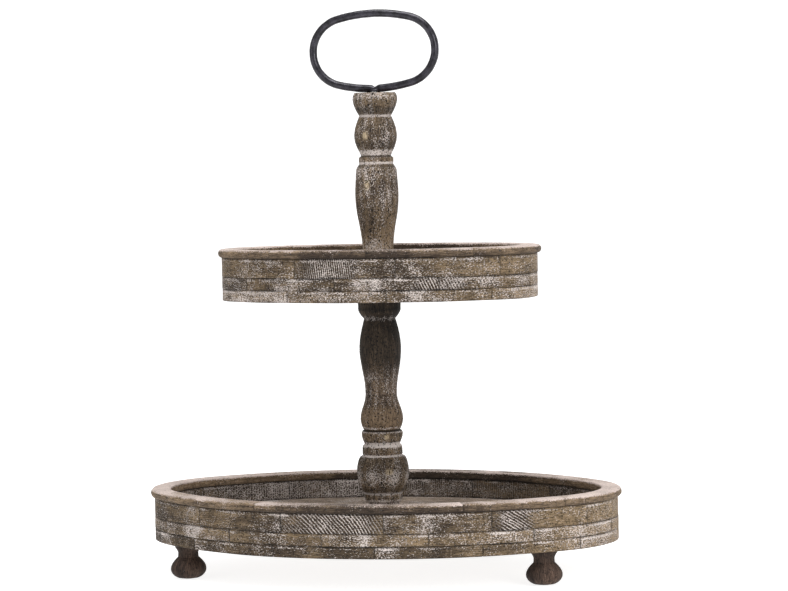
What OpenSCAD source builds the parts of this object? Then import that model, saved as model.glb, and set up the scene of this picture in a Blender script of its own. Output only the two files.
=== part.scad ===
// Two-tier oval serving stand: two trays with walls of stacked curved blocks, a turned centre
// pole, four bun feet and an iron ring handle, all held together by one tie rod.
// Millimetres. +Z is up, +X runs along the trays, and the origin is on the surface that the
// feet stand on, in line with the tie rod.

/* [Lower tray] */
// Outside length of the lower tray's wall
lower_len = 508; // [420:1:620]
// Outside width of the lower tray's wall
lower_wid = 344; // [280:1:420]
// Outside radius of the lower tray's two ends
lower_end_r = 111; // [98:1:135]
// Blocks in each course of the lower tray
lower_blocks = 12; // [12:1:16]
// Floor boards in the lower tray (an odd number, so that the middle one holds the rod)
lower_boards = 5; // [3:2:7]

/* [Upper tray] */
// Outside length of the upper tray's wall
upper_len = 345; // [280:1:420]
// Outside width of the upper tray's wall
upper_wid = 211; // [176:1:260]
// Outside radius of the upper tray's two ends
upper_end_r = 79; // [62:1:95]
// Blocks in each course of the upper tray
upper_blocks = 8; // [8:1:12]
// Floor boards in the upper tray (an odd number)
upper_boards = 3; // [3:2:5]

/* [Tray walls] */
// Thickness of the wall's top and middle courses
wall_t = 16; // [12:0.5:20]
// Width of the bottom course, which is also the ledge under the floor
ledge_w = 30; // [25:0.5:36]
// Height of the top course
top_course_h = 20.5; // [15:0.5:26]
// Height of the middle course
mid_course_h = 13; // [10:0.5:16]
// Height of the bottom course
bot_course_h = 12.5; // [12:0.5:16]
// Gap filled with glue between two blocks of a course
glue_gap = 0.2; // [0.1:0.05:0.5]
// Thickness of the floor boards
floor_t = 13; // [9:0.5:15]
// Gap round the floor and between its boards
floor_gap = 0.3; // [0.2:0.1:1]

/* [Rim] */
// Thickness of the rim
rim_h = 9; // [7:0.5:11]
// How far the rim stands out past the wall
rim_out = 4; // [3:0.5:6]
// How far the rim stands in past the wall
rim_in = 1.5; // [0:0.5:3]
// Diameter of a rim brad
brad_d = 1.6; // [1.2:0.1:2]
// Length of a rim brad
brad_len = 20; // [14:1:22]
// How deep a brad's head is set below the rim's edge
brad_set = 1; // [0.5:0.1:2]

/* [Pole] */
// Height of the turned base, from the lower floor to the open joint
base_h = 90.3; // [75:0.1:110]
// Largest diameter of the base, at its ball
base_d = 55.8; // [46:0.2:67]
// Height of the turned shaft, from the open joint to the upper floor
shaft_h = 154.3; // [128:0.1:190]
// Largest diameter of the shaft
shaft_d = 45.8; // [38:0.2:55]
// Height of the upper turned spindle, from the upper floor to its flat top
spindle_h = 193.7; // [160:0.1:230]
// Largest diameter of the upper spindle
spindle_d = 47.8; // [39:0.2:58]
// Gap between faces that turn on each other
turn_gap = 0.2; // [0.1:0.05:0.5]

/* [Handle and tie rod] */
// Outside width of the handle ring
ring_wid = 143.5; // [120:0.5:170]
// Outside height of the handle ring
ring_hgt = 88.5; // [74:0.5:106]
// Diameter of the ring's bar
bar_d = 8.5; // [7:0.5:10]
// Depth of the flat on the bar where the rod is welded
weld_flat = 1; // [0.5:0.1:1.5]
// Diameter of the tie rod
rod_d = 8; // [6:0.5:10]
// Gap between the rod and the bores that turn on it, on the radius
rod_gap = 0.1; // [0.05:0.01:0.1]
// Outside diameter of the wide bottom washer
washer_d = 30; // [24:1:40]
// Thickness of the wide bottom washer
washer_t = 2; // [1.5:0.1:2.5]
// Outside diameter of the lock washer
lock_d = 14.8; // [12:0.2:18]
// Thickness of the lock washer
lock_t = 1.8; // [1:0.1:2]
// Width across the nut's flats
nut_af = 13; // [11:0.5:17]
// Height of the nut
nut_h = 6.5; // [5:0.1:8]
// Length of rod below the nut
rod_tail = 1; // [0.5:0.1:2]

/* [Feet] */
// Height of a foot
foot_h = 35; // [28:0.5:42]
// Diameter of a foot's bun
foot_d = 38; // [31:0.5:46]
// Diameter of the flat that a foot stands on
foot_flat_d = 12; // [8:0.5:16]
// Distance from the pole to a front foot, along the tray
foot_x = 194; // [160:1:230]
// Distance from the pole to a back foot, along the tray
back_foot_x = 80; // [66:1:96]
// Distance from the outside of the wall in to a foot's centre
foot_inset = 15; // [13:0.5:18]
// Diameter of a foot's screw
screw_d = 6; // [5:0.5:8]
// Depth of the screw in the foot
screw_in_foot = 22; // [15:1:26]
// Depth of the screw in the tray
screw_in_tray = 10.5; // [7:0.5:11]
// Gap between the screw and its pilot holes, on the radius
pilot_gap = 0.02; // [0.01:0.01:0.05]

/* [Hidden] */
$fn = 64;
PER_DEG = PI / 180;

// Flats round a rim's half-round edge.
EDGE_STEPS = 8;

// Side arcs are centred to the nearest hundredth, so that both arcs at a seam stay in step.
ROUND_TO = 0.01;

// Degrees turned in each flat round the edge of a floor.
FLOOR_STEP = 4;

// Heights, from the feet up. A tray's wall is counted from the tray's own bottom.
wall_h = bot_course_h + mid_course_h + top_course_h;
rim_w = wall_t + rim_out + rim_in;
floor_top = bot_course_h + floor_t;
lower_z = foot_h;
base_z = lower_z + floor_top;
shaft_z = base_z + base_h + turn_gap;
upper_z = shaft_z + shaft_h + turn_gap - bot_course_h;
spindle_z = upper_z + floor_top + turn_gap;
ring_z = spindle_z + spindle_h + turn_gap;
washer_z = lower_z + bot_course_h - washer_t;
lock_z = washer_z - turn_gap - lock_t;
nut_z = lock_z - nut_h;
rod_z = nut_z - rod_tail;
bore_r = rod_d / 2 + rod_gap;

// A tray: [half length, half width, end radius, blocks, boards], all at the wall's outside.
lower = [lower_len / 2, lower_wid / 2, lower_end_r, lower_blocks, lower_boards];
upper = [upper_len / 2, upper_wid / 2, upper_end_r, upper_blocks, upper_boards];

// Where the joints of each course start, as a share of one block, so that no two line up.
rim_phase = 0.15;
top_phase = 0.42;
mid_phase = 0.83;
bot_phase = 0.33;

// Brads: their places along a rim segment, their slope, and how high they enter the edge.
brad_shares = [0.25, 0.75];
brad_slope = 38;
brad_enter = rim_h * 0.62;
brad_fit = 0.02;

// Where the spare length of a foot's screw ends in its hole.
hole_spare = 0.5;

// ---- The four-centre oval: two end arcs of radius r joined to two flatter side arcs. ----
function end_off(t) = t[0] - t[2];
function side_off(t) =
    let (b = t[1] - t[2]) round(((pow(end_off(t), 2) - b * b) / (2 * b)) / ROUND_TO) * ROUND_TO;
function side_r(t) = t[1] + side_off(t);
function turn_at(t) = atan2(side_off(t), end_off(t));

// Lengths along the outside, from the end axis to the side axis: the end arc, then the side.
function end_run(t) = turn_at(t) * t[2] * PER_DEG;
function side_run(t) = (90 - turn_at(t)) * side_r(t) * PER_DEG;
function around(t) = 4 * (end_run(t) + side_run(t));

// The direction that the wall faces, in degrees, at a distance s along the outside.
function facing(t, s) =
    let (q = end_run(t) + side_run(t), n = floor(s / q), u = s - n * q)
    90 * n + (n % 2 == 0
        ? (u < end_run(t) ? u / (t[2] * PER_DEG)
            : turn_at(t) + (u - end_run(t)) / (side_r(t) * PER_DEG))
        : (u < side_run(t) ? u / (side_r(t) * PER_DEG)
            : 90 - turn_at(t) + (u - side_run(t)) / (t[2] * PER_DEG)));

// The seams between arcs, met on the way from facing 0 round past 360: [direction, end centre].
// An end arc follows an even seam, and a side arc follows an odd one.
function seams(t) =
    let (a = turn_at(t), e = [end_off(t), 0])
    [[-a, e], [a, e], [180 - a, -e], [180 + a, -e], [360 - a, e], [360 + a, e], [540 - a, -e]];
function is_odd(k) = k % 2 == 1;
function arc_r(t, k) = is_odd(k) ? side_r(t) : t[2];
function arc_centre(t, k) = is_odd(k) ? [0, k == 3 ? side_off(t) : -side_off(t)] : seams(t)[k][1];
function arc_at(t, way) = max([for (k = [0 : 5]) if (seams(t)[k][0] <= way) k]);

// Swings a flat outline through an angle, on an arc of radius r whose start is at end_r on X.
module swing(end_r, r, angle) {
    translate([end_r - r, 0, 0]) rotate_extrude(angle = angle, $fn = 96) translate([r, 0]) children();
}

// Carries a flat outline along the oval between two directions. In the outline x = 0 is the
// wall's outside, with x > 0 outwards. A run that crosses a seam is swung both ways from it,
// so that its two arcs share one face. No run is long enough to cross two seams.
module oval_run(t, from, to) {
    crossed = [for (k = [0 : 6]) if (from < seams(t)[k][0] && seams(t)[k][0] < to) k];
    if (len(crossed) == 0) {
        k = arc_at(t, from);
        translate([arc_centre(t, k)[0], arc_centre(t, k)[1], 0]) rotate([0, 0, from])
            swing(arc_r(t, k), arc_r(t, k), to - from) children();
    }
    for (k = crossed) {
        seam = seams(t)[k];
        translate([seam[1][0], seam[1][1], 0]) rotate([0, 0, seam[0]]) {
            swing(t[2], arc_r(t, k), to - seam[0]) children();
            mirror([0, 1, 0]) swing(t[2], arc_r(t, k + 1), seam[0] - from) children();
        }
    }
}

// One course: the same outline in every block, with a gap for glue between blocks.
module course(t, phase) {
    pitch = around(t) / t[3];
    for (i = [0 : t[3] - 1])
        oval_run(t, facing(t, (i + phase) * pitch), facing(t, (i + 1 + phase) * pitch - glue_gap))
            children();
}

// Places its children on the wall's outside at distance s, with +X facing outwards.
module on_wall(t, s) {
    way = facing(t, s);
    k = arc_at(t, way);
    translate([arc_centre(t, k)[0], arc_centre(t, k)[1], 0]) rotate([0, 0, way])
        translate([arc_r(t, k), 0, 0]) children();
}

// The solid oval, drawn in by d, from z = 0 up to h, with a flat for each few degrees of turn.
module oval_slab(t, d, h) {
    linear_extrude(h) polygon([for (way = [0 : FLOOR_STEP : 359]) let (k = arc_at(t, way))
        arc_centre(t, k) + (arc_r(t, k) - d) * [cos(way), sin(way)]]);
}

// ---- Trays ----
module course_outline(thick, low, high) {
    translate([-thick, low]) square([thick, high - low]);
}

// The rim's outline, with a half-round outer edge.
module rim_outline() {
    r = rim_h / 2;
    polygon(concat([[-wall_t - rim_in, wall_h + rim_h], [-wall_t - rim_in, wall_h]],
        [for (i = [0 : EDGE_STEPS]) let (a = 180 * i / EDGE_STEPS - 90)
            [rim_out - r + r * cos(a), wall_h + r + r * sin(a)]]));
}

// The brads of one rim, or with grow > 0 the holes for them.
module brads(t, grow) {
    pitch = around(t) / t[3];
    for (i = [0 : t[3] - 1], share = brad_shares)
        on_wall(t, (i + rim_phase + share) * pitch)
            translate([rim_out, 0, wall_h + brad_enter]) rotate([0, 270 - brad_slope, 0])
                translate([0, 0, grow > 0 ? -rim_h : brad_set])
                    cylinder(d = brad_d + 2 * grow, h = brad_len + (grow > 0 ? rim_h + grow : -brad_set));
}

module tray_brads(t, z) {
    color("#202020") translate([0, 0, z]) brads(t, 0);
}

module tray_rim(t, z) {
    color("#8a7a68") translate([0, 0, z]) difference() {
        course(t, rim_phase) rim_outline();
        brads(t, brad_fit);
    }
}

module tray_top_course(t, z) {
    color("#6e6353") translate([0, 0, z]) difference() {
        course(t, top_phase) course_outline(wall_t, bot_course_h + mid_course_h, wall_h);
        brads(t, brad_fit);
    }
}

module tray_middle_course(t, z) {
    color("#7d705c") translate([0, 0, z])
        course(t, mid_phase) course_outline(wall_t, bot_course_h, bot_course_h + mid_course_h);
}

module tray_bottom_course(t, z) {
    color("#8d8880") translate([0, 0, z])
        course(t, bot_phase) course_outline(ledge_w, 0, bot_course_h);
}

// Boards along X on the ledge, inside the middle course, with the rod's bore in the middle.
module tray_floor(t, z) {
    inner = wall_t + floor_gap;
    board_w = 2 * (t[1] - inner) / t[4];
    color("#9a8c7a") translate([0, 0, z]) difference() {
        for (i = [0 : t[4] - 1])
            intersection() {
                translate([0, 0, bot_course_h]) oval_slab(t, inner, floor_t);
                translate([-t[0], i * board_w - t[1] + inner + floor_gap / 2, 0])
                    cube([2 * t[0], board_w - floor_gap, floor_top]);
            }
        cylinder(r = bore_r, h = wall_h);
    }
}

// ---- Turned pieces ----
// An outline is a list of [height, radius, ease]. From one entry to the next the radius
// either follows half a wave (ease 1), or a quarter wave that leaves square (2) or lands
// square (3), or a quarter oval that leaves square (4) or lands square (5), or a line (0).
TURN_STEPS = 8;
function eased(kind, u) =
    kind == 1 ? (1 - cos(180 * u)) / 2 : kind == 2 ? 1 - cos(90 * u) : kind == 3 ? sin(90 * u)
    : kind == 4 ? 1 - sqrt(1 - u * u) : kind == 5 ? sqrt(1 - pow(1 - u, 2)) : u;
function turned(rows) = concat(
    [for (i = [0 : len(rows) - 2])
        let (a = rows[i], b = rows[i + 1], n = a[2] == 0 ? 1 : TURN_STEPS)
        for (j = [0 : n - 1])
            [a[1] + (b[1] - a[1]) * eased(a[2], j / n), a[0] + (b[0] - a[0]) * j / n]],
    [[rows[len(rows) - 1][1], rows[len(rows) - 1][0]]]);

// Turns an outline with a bore through it. rows run from z = 0 up.
module turning(rows, bore) {
    top = rows[len(rows) - 1][0];
    rotate_extrude($fn = 96)
        polygon(concat([[bore, 0]], turned(rows), [[bore, top]]));
}

// A racetrack loop of round bar: two half turns and two straight runs. The bottom run has a
// small flat underneath for the weld to the tie rod.
module handle_ring() {
    bend_r = (ring_hgt - bar_d) / 2;
    half_run = (ring_wid - ring_hgt) / 2;
    color("#2b2b30")
        translate([0, 0, ring_z + ring_hgt / 2]) difference() {
            rotate([90, 0, 0]) {
                for (side = [0, 1])
                    mirror([side, 0, 0]) translate([half_run, 0, 0]) rotate([0, 0, -90])
                        rotate_extrude(angle = 180, $fn = 96)
                            translate([bend_r, 0]) circle(d = bar_d, $fn = 32);
                for (side = [-1, 1])
                    translate([-half_run, side * bend_r, 0]) rotate([0, 90, 0])
                        cylinder(d = bar_d, h = 2 * half_run, $fn = 32);
            }
            translate([0, 0, weld_flat - ring_hgt / 2 - bar_d]) cylinder(d = rod_d, h = bar_d);
        }
}

module tie_rod() {
    color("#55555a")
        translate([0, 0, rod_z]) cylinder(d = rod_d, h = ring_z + weld_flat - rod_z);
}

module bottom_nut() {
    color("silver")
        translate([0, 0, nut_z]) difference() {
            cylinder(d = nut_af / cos(30), h = nut_h, $fn = 6);
            translate([0, 0, -nut_h]) cylinder(r = rod_d / 2 + pilot_gap, h = 3 * nut_h);
        }
}

module flat_ring(z, d, hole_r, h) {
    translate([0, 0, z]) difference() {
        cylinder(d = d, h = h);
        translate([0, 0, -h]) cylinder(r = hole_r, h = 3 * h);
    }
}

module lock_washer() {
    color("silver") flat_ring(lock_z, lock_d, rod_d / 2 + pilot_gap, lock_t);
}

module bottom_washer() {
    color("silver") flat_ring(washer_z, washer_d, bore_r, washer_t);
}

module upper_spindle() {
    r = spindle_d / 2;
    k = spindle_h / 193.7;
    color("#6b5f50")
        translate([0, 0, spindle_z]) turning([
            [0, r * 0.824, 0], [5 * k, r * 0.824, 1], [26 * k, r * 0.695, 1], [84 * k, r * 0.968, 2],
            [110 * k, r * 0.915, 2], [117 * k, r * 0.775, 0], [118.3 * k, r * 0.755, 0],
            [119.3 * k, r * 0.775, 0], [124.5 * k, r * 0.775, 0], [126 * k, r * 0.68, 0],
            [127.5 * k, r * 0.685, 3], [148 * k, r * 0.958, 2], [169 * k, r * 0.709, 3],
            [188 * k, r, 2], [193.7 * k, r * 0.915, 0]], bore_r);
}

module lower_spindle_shaft() {
    r = shaft_d / 2;
    k = shaft_h / 154.3;
    color("#463a30")
        translate([0, 0, shaft_z]) turning([
            [0, r * 0.83, 0], [3 * k, r * 0.905, 3], [12 * k, r, 1], [40 * k, r * 0.735, 1],
            [88 * k, r * 0.975, 2], [120 * k, r * 0.735, 3], [131 * k, r, 0],
            [154.3 * k, r, 0]], bore_r);
}

module lower_spindle_base() {
    r = base_d / 2;
    k = base_h / 90.3;
    color("#6b5f50")
        translate([0, 0, base_z]) turning([
            [0, r * 0.763, 0], [6 * k, r * 0.763, 1], [13 * k, r * 0.57, 5], [17.5 * k, r * 0.725, 0],
            [22 * k, r * 0.735, 0], [23.5 * k, r * 0.705, 0], [24 * k, r * 0.765, 3],
            [45 * k, r, 4], [63.5 * k, r * 0.79, 0], [64 * k, r * 0.755, 0],
            [65.5 * k, r * 0.775, 0], [72.5 * k, r * 0.765, 2], [76 * k, r * 0.68, 3],
            [88 * k, r * 0.795, 0], [90.3 * k, r * 0.755, 0]], bore_r);
}

// ---- Feet ----
// The foot's distance from the pole across the tray puts it foot_inset in from the wall's
// outside: on the end arc past the arc's centre, else on the side arc.
function foot_y(t, along) =
    let (x = along - end_off(t), e = t[2] - foot_inset, s = side_r(t) - foot_inset)
    x > e * cos(turn_at(t)) ? sqrt(e * e - x * x) : sqrt(s * s - along * along) - side_off(t);

module at_foot(side, depth) {
    along = depth < 0 ? foot_x : back_foot_x;
    translate([side * along, depth * foot_y(lower, along), 0]) children();
}

module foot(side, depth) {
    r = foot_d / 2;
    k = foot_h / 35;
    color("#3f332a")
        at_foot(side, depth) difference() {
            rotate_extrude($fn = 96)
                polygon(concat([[0, 0]], turned([
                    [0, foot_flat_d / 2, 5], [10.5 * k, r, 2], [23 * k, r * 0.585, 0],
                    [27 * k, r * 0.57, 2], [33 * k, r * 0.72, 0], [35 * k, r * 0.74, 0]]), [[0, foot_h]]));
            translate([0, 0, foot_h - screw_in_foot - hole_spare])
                cylinder(r = screw_d / 2 + pilot_gap, h = foot_h);
        }
}

module foot_screws() {
    color("silver")
        for (side = [-1, 1], depth = [-1, 1])
            at_foot(side, depth) translate([0, 0, foot_h - screw_in_foot])
                cylinder(d = screw_d, h = screw_in_foot + screw_in_tray);
}

module lower_bottom_course() {
    difference() {
        tray_bottom_course(lower, lower_z);
        for (side = [-1, 1], depth = [-1, 1])
            at_foot(side, depth) translate([0, 0, foot_h - foot_h / 2])
                cylinder(r = screw_d / 2 + pilot_gap, h = foot_h / 2 + screw_in_tray + hole_spare);
    }
}

handle_ring();
tie_rod();
bottom_nut();
lock_washer();
bottom_washer();
upper_spindle();
tray_rim(upper, upper_z);  // upper_tray_rim
tray_brads(upper, upper_z);  // upper_tray_brads
tray_top_course(upper, upper_z);  // upper_tray_top_course
tray_middle_course(upper, upper_z);  // upper_tray_middle_course
tray_bottom_course(upper, upper_z);  // upper_tray_bottom_course
tray_floor(upper, upper_z);  // upper_tray_floor
lower_spindle_shaft();
lower_spindle_base();
tray_rim(lower, lower_z);  // lower_tray_rim
tray_brads(lower, lower_z);  // lower_tray_brads
tray_top_course(lower, lower_z);  // lower_tray_top_course
tray_middle_course(lower, lower_z);  // lower_tray_middle_course
lower_bottom_course();  // lower_tray_bottom_course
tray_floor(lower, lower_z);  // lower_tray_floor
foot(-1, -1);  // foot_front_left
foot(1, -1);  // foot_front_right
foot(-1, 1);  // foot_back_left
foot(1, 1);  // foot_back_right
foot_screws();
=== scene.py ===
# %% [markdown]
# # A two-tier stand of reclaimed boards
# The stand is two oval trays on a turned pole, with bun feet below and an iron ring above. Each tray
# is built like a barrel hoop in layers: short curved blocks of old painted board, glued end to end,
# three courses high, with a flat rim on top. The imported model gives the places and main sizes, and
# this lesson builds the surfaces that show around it.

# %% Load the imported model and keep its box
import math
import bpy
import numpy as np
from mathutils import Matrix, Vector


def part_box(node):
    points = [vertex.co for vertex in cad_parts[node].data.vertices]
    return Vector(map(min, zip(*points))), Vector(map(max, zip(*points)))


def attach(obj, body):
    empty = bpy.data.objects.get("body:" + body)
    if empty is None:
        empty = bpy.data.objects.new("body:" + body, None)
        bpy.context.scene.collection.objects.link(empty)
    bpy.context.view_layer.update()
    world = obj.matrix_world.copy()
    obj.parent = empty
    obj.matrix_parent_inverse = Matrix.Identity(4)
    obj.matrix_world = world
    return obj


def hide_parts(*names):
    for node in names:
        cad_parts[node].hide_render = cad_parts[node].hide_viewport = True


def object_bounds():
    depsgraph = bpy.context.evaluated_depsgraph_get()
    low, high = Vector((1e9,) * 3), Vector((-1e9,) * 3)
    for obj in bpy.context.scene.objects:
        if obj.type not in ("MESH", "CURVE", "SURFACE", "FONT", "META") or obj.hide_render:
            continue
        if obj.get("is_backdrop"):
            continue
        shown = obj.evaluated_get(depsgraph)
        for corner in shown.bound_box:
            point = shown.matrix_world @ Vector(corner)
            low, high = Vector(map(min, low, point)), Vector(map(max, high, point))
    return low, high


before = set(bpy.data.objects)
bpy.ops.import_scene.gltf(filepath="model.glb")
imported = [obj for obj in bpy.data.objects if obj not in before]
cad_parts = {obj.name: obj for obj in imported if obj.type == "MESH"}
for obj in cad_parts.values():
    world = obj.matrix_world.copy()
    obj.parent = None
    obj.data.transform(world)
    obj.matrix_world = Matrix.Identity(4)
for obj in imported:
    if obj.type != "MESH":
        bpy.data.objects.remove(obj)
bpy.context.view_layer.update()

MM = 0.001

# %% [markdown]
# ## The camera
# The stand is seen from a little above the lower tray, with its right end a little forward. A long
# lens from over three metres keeps the ovals calm, as in a studio picture of tableware. The camera's
# axes come from three plain turns: how far it looks down, leans, and has walked round the stand.

# %% Place the camera
LOOK_DOWN, LEAN, WALK_ROUND = math.radians(2.83), math.radians(1.26), math.radians(15.46)
CAMERA_AT = (0.871, -3.0896, 0.4538)
LENS_MM, SENSOR_MM = 137.06, 36.0


def camera_axes(down, lean, walk):
    """Right, up and back vectors: look down about X, lean about the line of sight, then turn about Z."""
    right, up = np.array([1.0, 0, 0]), np.array([0, math.sin(down), math.cos(down)])
    ahead = np.array([0, math.cos(down), -math.sin(down)])
    leaned = (math.cos(lean) * right - math.sin(lean) * up, math.sin(lean) * right + math.cos(lean) * up)
    c, s = math.cos(walk), math.sin(walk)
    about_z = np.array([[c, -s, 0], [s, c, 0], [0, 0, 1]])
    return about_z @ np.column_stack([leaned[0], leaned[1], -ahead])


camera = bpy.data.objects.new("camera", bpy.data.cameras.new("camera"))
camera.data.lens, camera.data.sensor_width = LENS_MM, SENSOR_MM
turn_and_place = np.eye(4)
turn_and_place[:3, :3], turn_and_place[:3, 3] = camera_axes(LOOK_DOWN, LEAN, WALK_ROUND), CAMERA_AT
camera.matrix_world = Matrix(turn_and_place.tolist())
bpy.context.scene.collection.objects.link(camera)
bpy.context.scene.camera = camera
print("The camera stands", round(float(np.linalg.norm(CAMERA_AT)), 2), "m away")

# %% [markdown]
# ## Light and floor
# White ware is shown on a lit white table: light comes from everywhere, most of all from above, with
# a softer window on the right. The table glows a little by itself, so the shadow under the stand stays
# faint. One sheet that curves up behind makes both floor and backdrop, so no corner shows.

# %% Hang the lamps
ROOM_GLOW = 0.5
world = bpy.data.worlds.new("white_room")
world.use_nodes = True
world.node_tree.nodes["Background"].inputs["Color"].default_value = (1, 1, 1, 1)
world.node_tree.nodes["Background"].inputs["Strength"].default_value = ROOM_GLOW
bpy.context.scene.world = world
bpy.context.scene.view_settings.view_transform = "Standard"


def softbox(name, at, aim, size, watts):
    """A square lamp at one point, with its face turned to another. size is its side in metres."""
    lamp = bpy.data.objects.new(name, bpy.data.lights.new(name, "AREA"))
    lamp.data.size, lamp.data.energy = size, watts
    look = bpy.context.scene.camera.location.copy()
    look[:] = [a - b for a, b in zip(aim, at)]
    lamp.location, lamp.rotation_euler = at, look.to_track_quat("-Z", "Y").to_euler()
    bpy.context.scene.collection.objects.link(lamp)


softbox("overhead", (0.15, -0.35, 2.6), (0, 0, 0.2), 1.6, 58)
softbox("window_right", (2.4, -2.2, 1.3), (0, 0, 0.25), 1.4, 44)
softbox("fill_left", (-2.2, -2.6, 0.9), (0, 0, 0.25), 1.8, 12)
print("Three lamps and a white room")

# %% [markdown]
# ## A few helpers
# Every shape here is a sheet of points, with rows along a path and columns round a section, so one
# helper can join the points into faces. A second helper puts sheets into one mesh with a UV map in
# real metres, so that wood grain runs the right way on every piece, and with a few painted values,
# such as how much old limewash is left at a point.

# %% Sheets of points
MARKS = ("tint", "wash", "dirt", "kerf", "sawn", "worn")


def tube(points, along, around, joined=False, **marks):
    """A closed sheet. points is rows by columns by 3, and the columns always close on themselves.
    The rows close too if joined, or else each end is closed by a fan about its middle point.
    Face (i, j) joins row i to row i + 1 and column j to column j + 1. Faces are then turned to
    point outwards, by the sign of the volume: the sum of each corner triple's box product."""
    rows, columns = points.shape[:2]
    i = np.arange(rows if joined else rows - 1)[:, None]
    j = np.arange(columns)[None, :]
    here, there = i * columns, ((i + 1) % rows) * columns
    over = (j + 1) % columns
    quads = np.stack([here + j, here + over, there + over, there + j], -1).reshape(-1, 4)
    wide = columns + 1
    corners = np.stack([i * wide + j, i * wide + j + 1, (i + 1) * wide + j + 1, (i + 1) * wide + j], -1)
    sheet_uv = np.stack(np.broadcast_arrays(along[:, None], around[None, :]), -1).reshape(-1, 2)
    quad_uv = sheet_uv[corners.reshape(-1, 4)]
    vertices = points.reshape(-1, 3)
    values = {m: np.broadcast_to(marks.get(m, 0.0), (rows, columns)).ravel() for m in MARKS}
    tris, tri_uv = np.zeros((0, 3), int), np.zeros((0, 3, 2))
    if not joined:
        flat = np.arange(columns)
        around_next = (flat + 1) % columns
        low, high = len(vertices), len(vertices) + 1
        last = (rows - 1) * columns
        tris = np.concatenate([
            np.stack([np.full(columns, low), around_next, flat], -1),
            np.stack([np.full(columns, high), last + flat, last + around_next], -1)])
        vertices = np.concatenate([vertices, points[0].mean(0)[None], points[-1].mean(0)[None]])
        for m, v in values.items():
            values[m] = np.append(v, [v[:columns].mean(), v[last:].mean()])
        size = points[[0, -1]] - points[[0, -1]].mean(1)[:, None]
        flat_uv = np.stack([np.linalg.norm(size[..., :2], axis=-1), size[..., 2]], -1)
        rim = np.concatenate([flat_uv[0], flat_uv[1]])
        a = np.stack([around_next, flat], -1)
        b = np.stack([columns + flat, columns + around_next], -1)
        tri_uv = np.concatenate([np.zeros((2 * columns, 1, 2)), rim[np.concatenate([a, b])]], 1)
    fan = np.concatenate([quads[:, [0, 1, 2]], quads[:, [0, 2, 3]], tris])
    p, q, r = (vertices[fan[:, k]] - vertices.mean(0) for k in range(3))
    if (p * np.cross(q, r)).sum() < 0:
        quads, quad_uv, tris, tri_uv = quads[:, ::-1], quad_uv[:, ::-1], tris[:, ::-1], tri_uv[:, ::-1]
    return {"vertices": vertices, "quads": quads, "quad_uv": quad_uv, "tris": tris, "tri_uv": tri_uv,
            "values": values}


# %% Sheets into one mesh object
def build(name, tubes, material, body, slot, nodes, crease=38):
    """Puts sheets into one mesh object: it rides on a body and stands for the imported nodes. An edge
    where two faces meet at more than crease degrees is drawn sharp."""
    start = np.cumsum([0] + [len(t["vertices"]) for t in tubes])
    vertices = np.concatenate([t["vertices"] for t in tubes])
    quads = np.concatenate([t["quads"] + s for t, s in zip(tubes, start)])
    tris = np.concatenate([t["tris"] + s for t, s in zip(tubes, start)])
    uv = np.concatenate([np.concatenate([t["quad_uv"] for t in tubes]).reshape(-1, 2),
                         np.concatenate([t["tri_uv"] for t in tubes]).reshape(-1, 2)])
    mesh = bpy.data.meshes.new(name)
    mesh.vertices.add(len(vertices))
    mesh.vertices.foreach_set("co", vertices.astype(np.float32).ravel())
    mesh.loops.add(quads.size + tris.size)
    mesh.loops.foreach_set("vertex_index", np.concatenate([quads.ravel(), tris.ravel()]).astype(np.int32))
    mesh.polygons.add(len(quads) + len(tris))
    starts = np.concatenate([np.arange(len(quads)) * 4, quads.size + np.arange(len(tris)) * 3])
    mesh.polygons.foreach_set("loop_start", starts.astype(np.int32))
    mesh.update(calc_edges=True)
    mesh.uv_layers.new(name="grain").data.foreach_set("uv", uv.astype(np.float32).ravel())
    for mark in MARKS:
        values = np.concatenate([t["values"][mark] for t in tubes]).astype(np.float32)
        mesh.attributes.new(mark, "FLOAT", "POINT").data.foreach_set("value", values)
    mesh.polygons.foreach_set("use_smooth", np.ones(len(mesh.polygons), bool))
    mesh.set_sharp_from_angle(angle=math.radians(crease))
    mesh.materials.append(material)
    piece = bpy.data.objects.new(name, mesh)
    bpy.context.scene.collection.objects.link(piece)
    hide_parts(*nodes)
    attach(piece, body)
    print(name, "has", 2 * len(quads) + len(tris), "triangles")
    return piece


def waves(x, y, seed, size):
    """Smooth unevenness, mostly from -1 to 1: the sum of nine sine waves in seeded directions, over
    half their number. size is the middle wavelength, in the same unit as x and y."""
    rng, count = np.random.default_rng(seed), 9
    turn, phase = rng.uniform(0, 2 * np.pi, count), rng.uniform(0, 2 * np.pi, count)
    step = 2 * np.pi / (size * rng.uniform(0.6, 1.7, count))
    total = sum(np.sin(s * (np.cos(t) * x + np.sin(t) * y) + p) for s, t, p in zip(step, turn, phase))
    return total / (count / 2)


def bump(x, centre, half):
    """A soft hump: 1 / (1 + (distance / half) ^ 6), so 1 at its centre, a half at its edge and about
    0 beyond."""
    return 1 / (1 + (np.abs(x - centre) / half) ** 6)


def fade(distance, reach):
    """1 at no distance, falling as exp(-(distance / reach) ^ 2)."""
    return np.exp(-(distance / reach) ** 2)


def spread(first, last, step, ease):
    """Places from first to last about a step apart, with one more at ease from each end."""
    inner = np.linspace(first + 2.5 * ease, last - 2.5 * ease, max(2, int((last - first) / step)))
    return np.concatenate([[first, first + ease], inner, [last - ease, last]])


def circle_turns(count):
    """Evenly spaced angles once round, without the last, which is the first again."""
    return np.linspace(0, 2 * np.pi, count, endpoint=False)


def girth(turn, radius):
    """Lengths round a circle of this radius up to each turn, and once round."""
    return np.append(turn, 2 * np.pi) * radius


def spun(reach, turn, z, centre=(0, 0)):
    """Points about an upright axis, at a reach from it, a turn round it and a height."""
    x, y = centre[0] + reach * np.cos(turn), centre[1] + reach * np.sin(turn)
    return np.stack(np.broadcast_arrays(x, y, z), -1)


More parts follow.
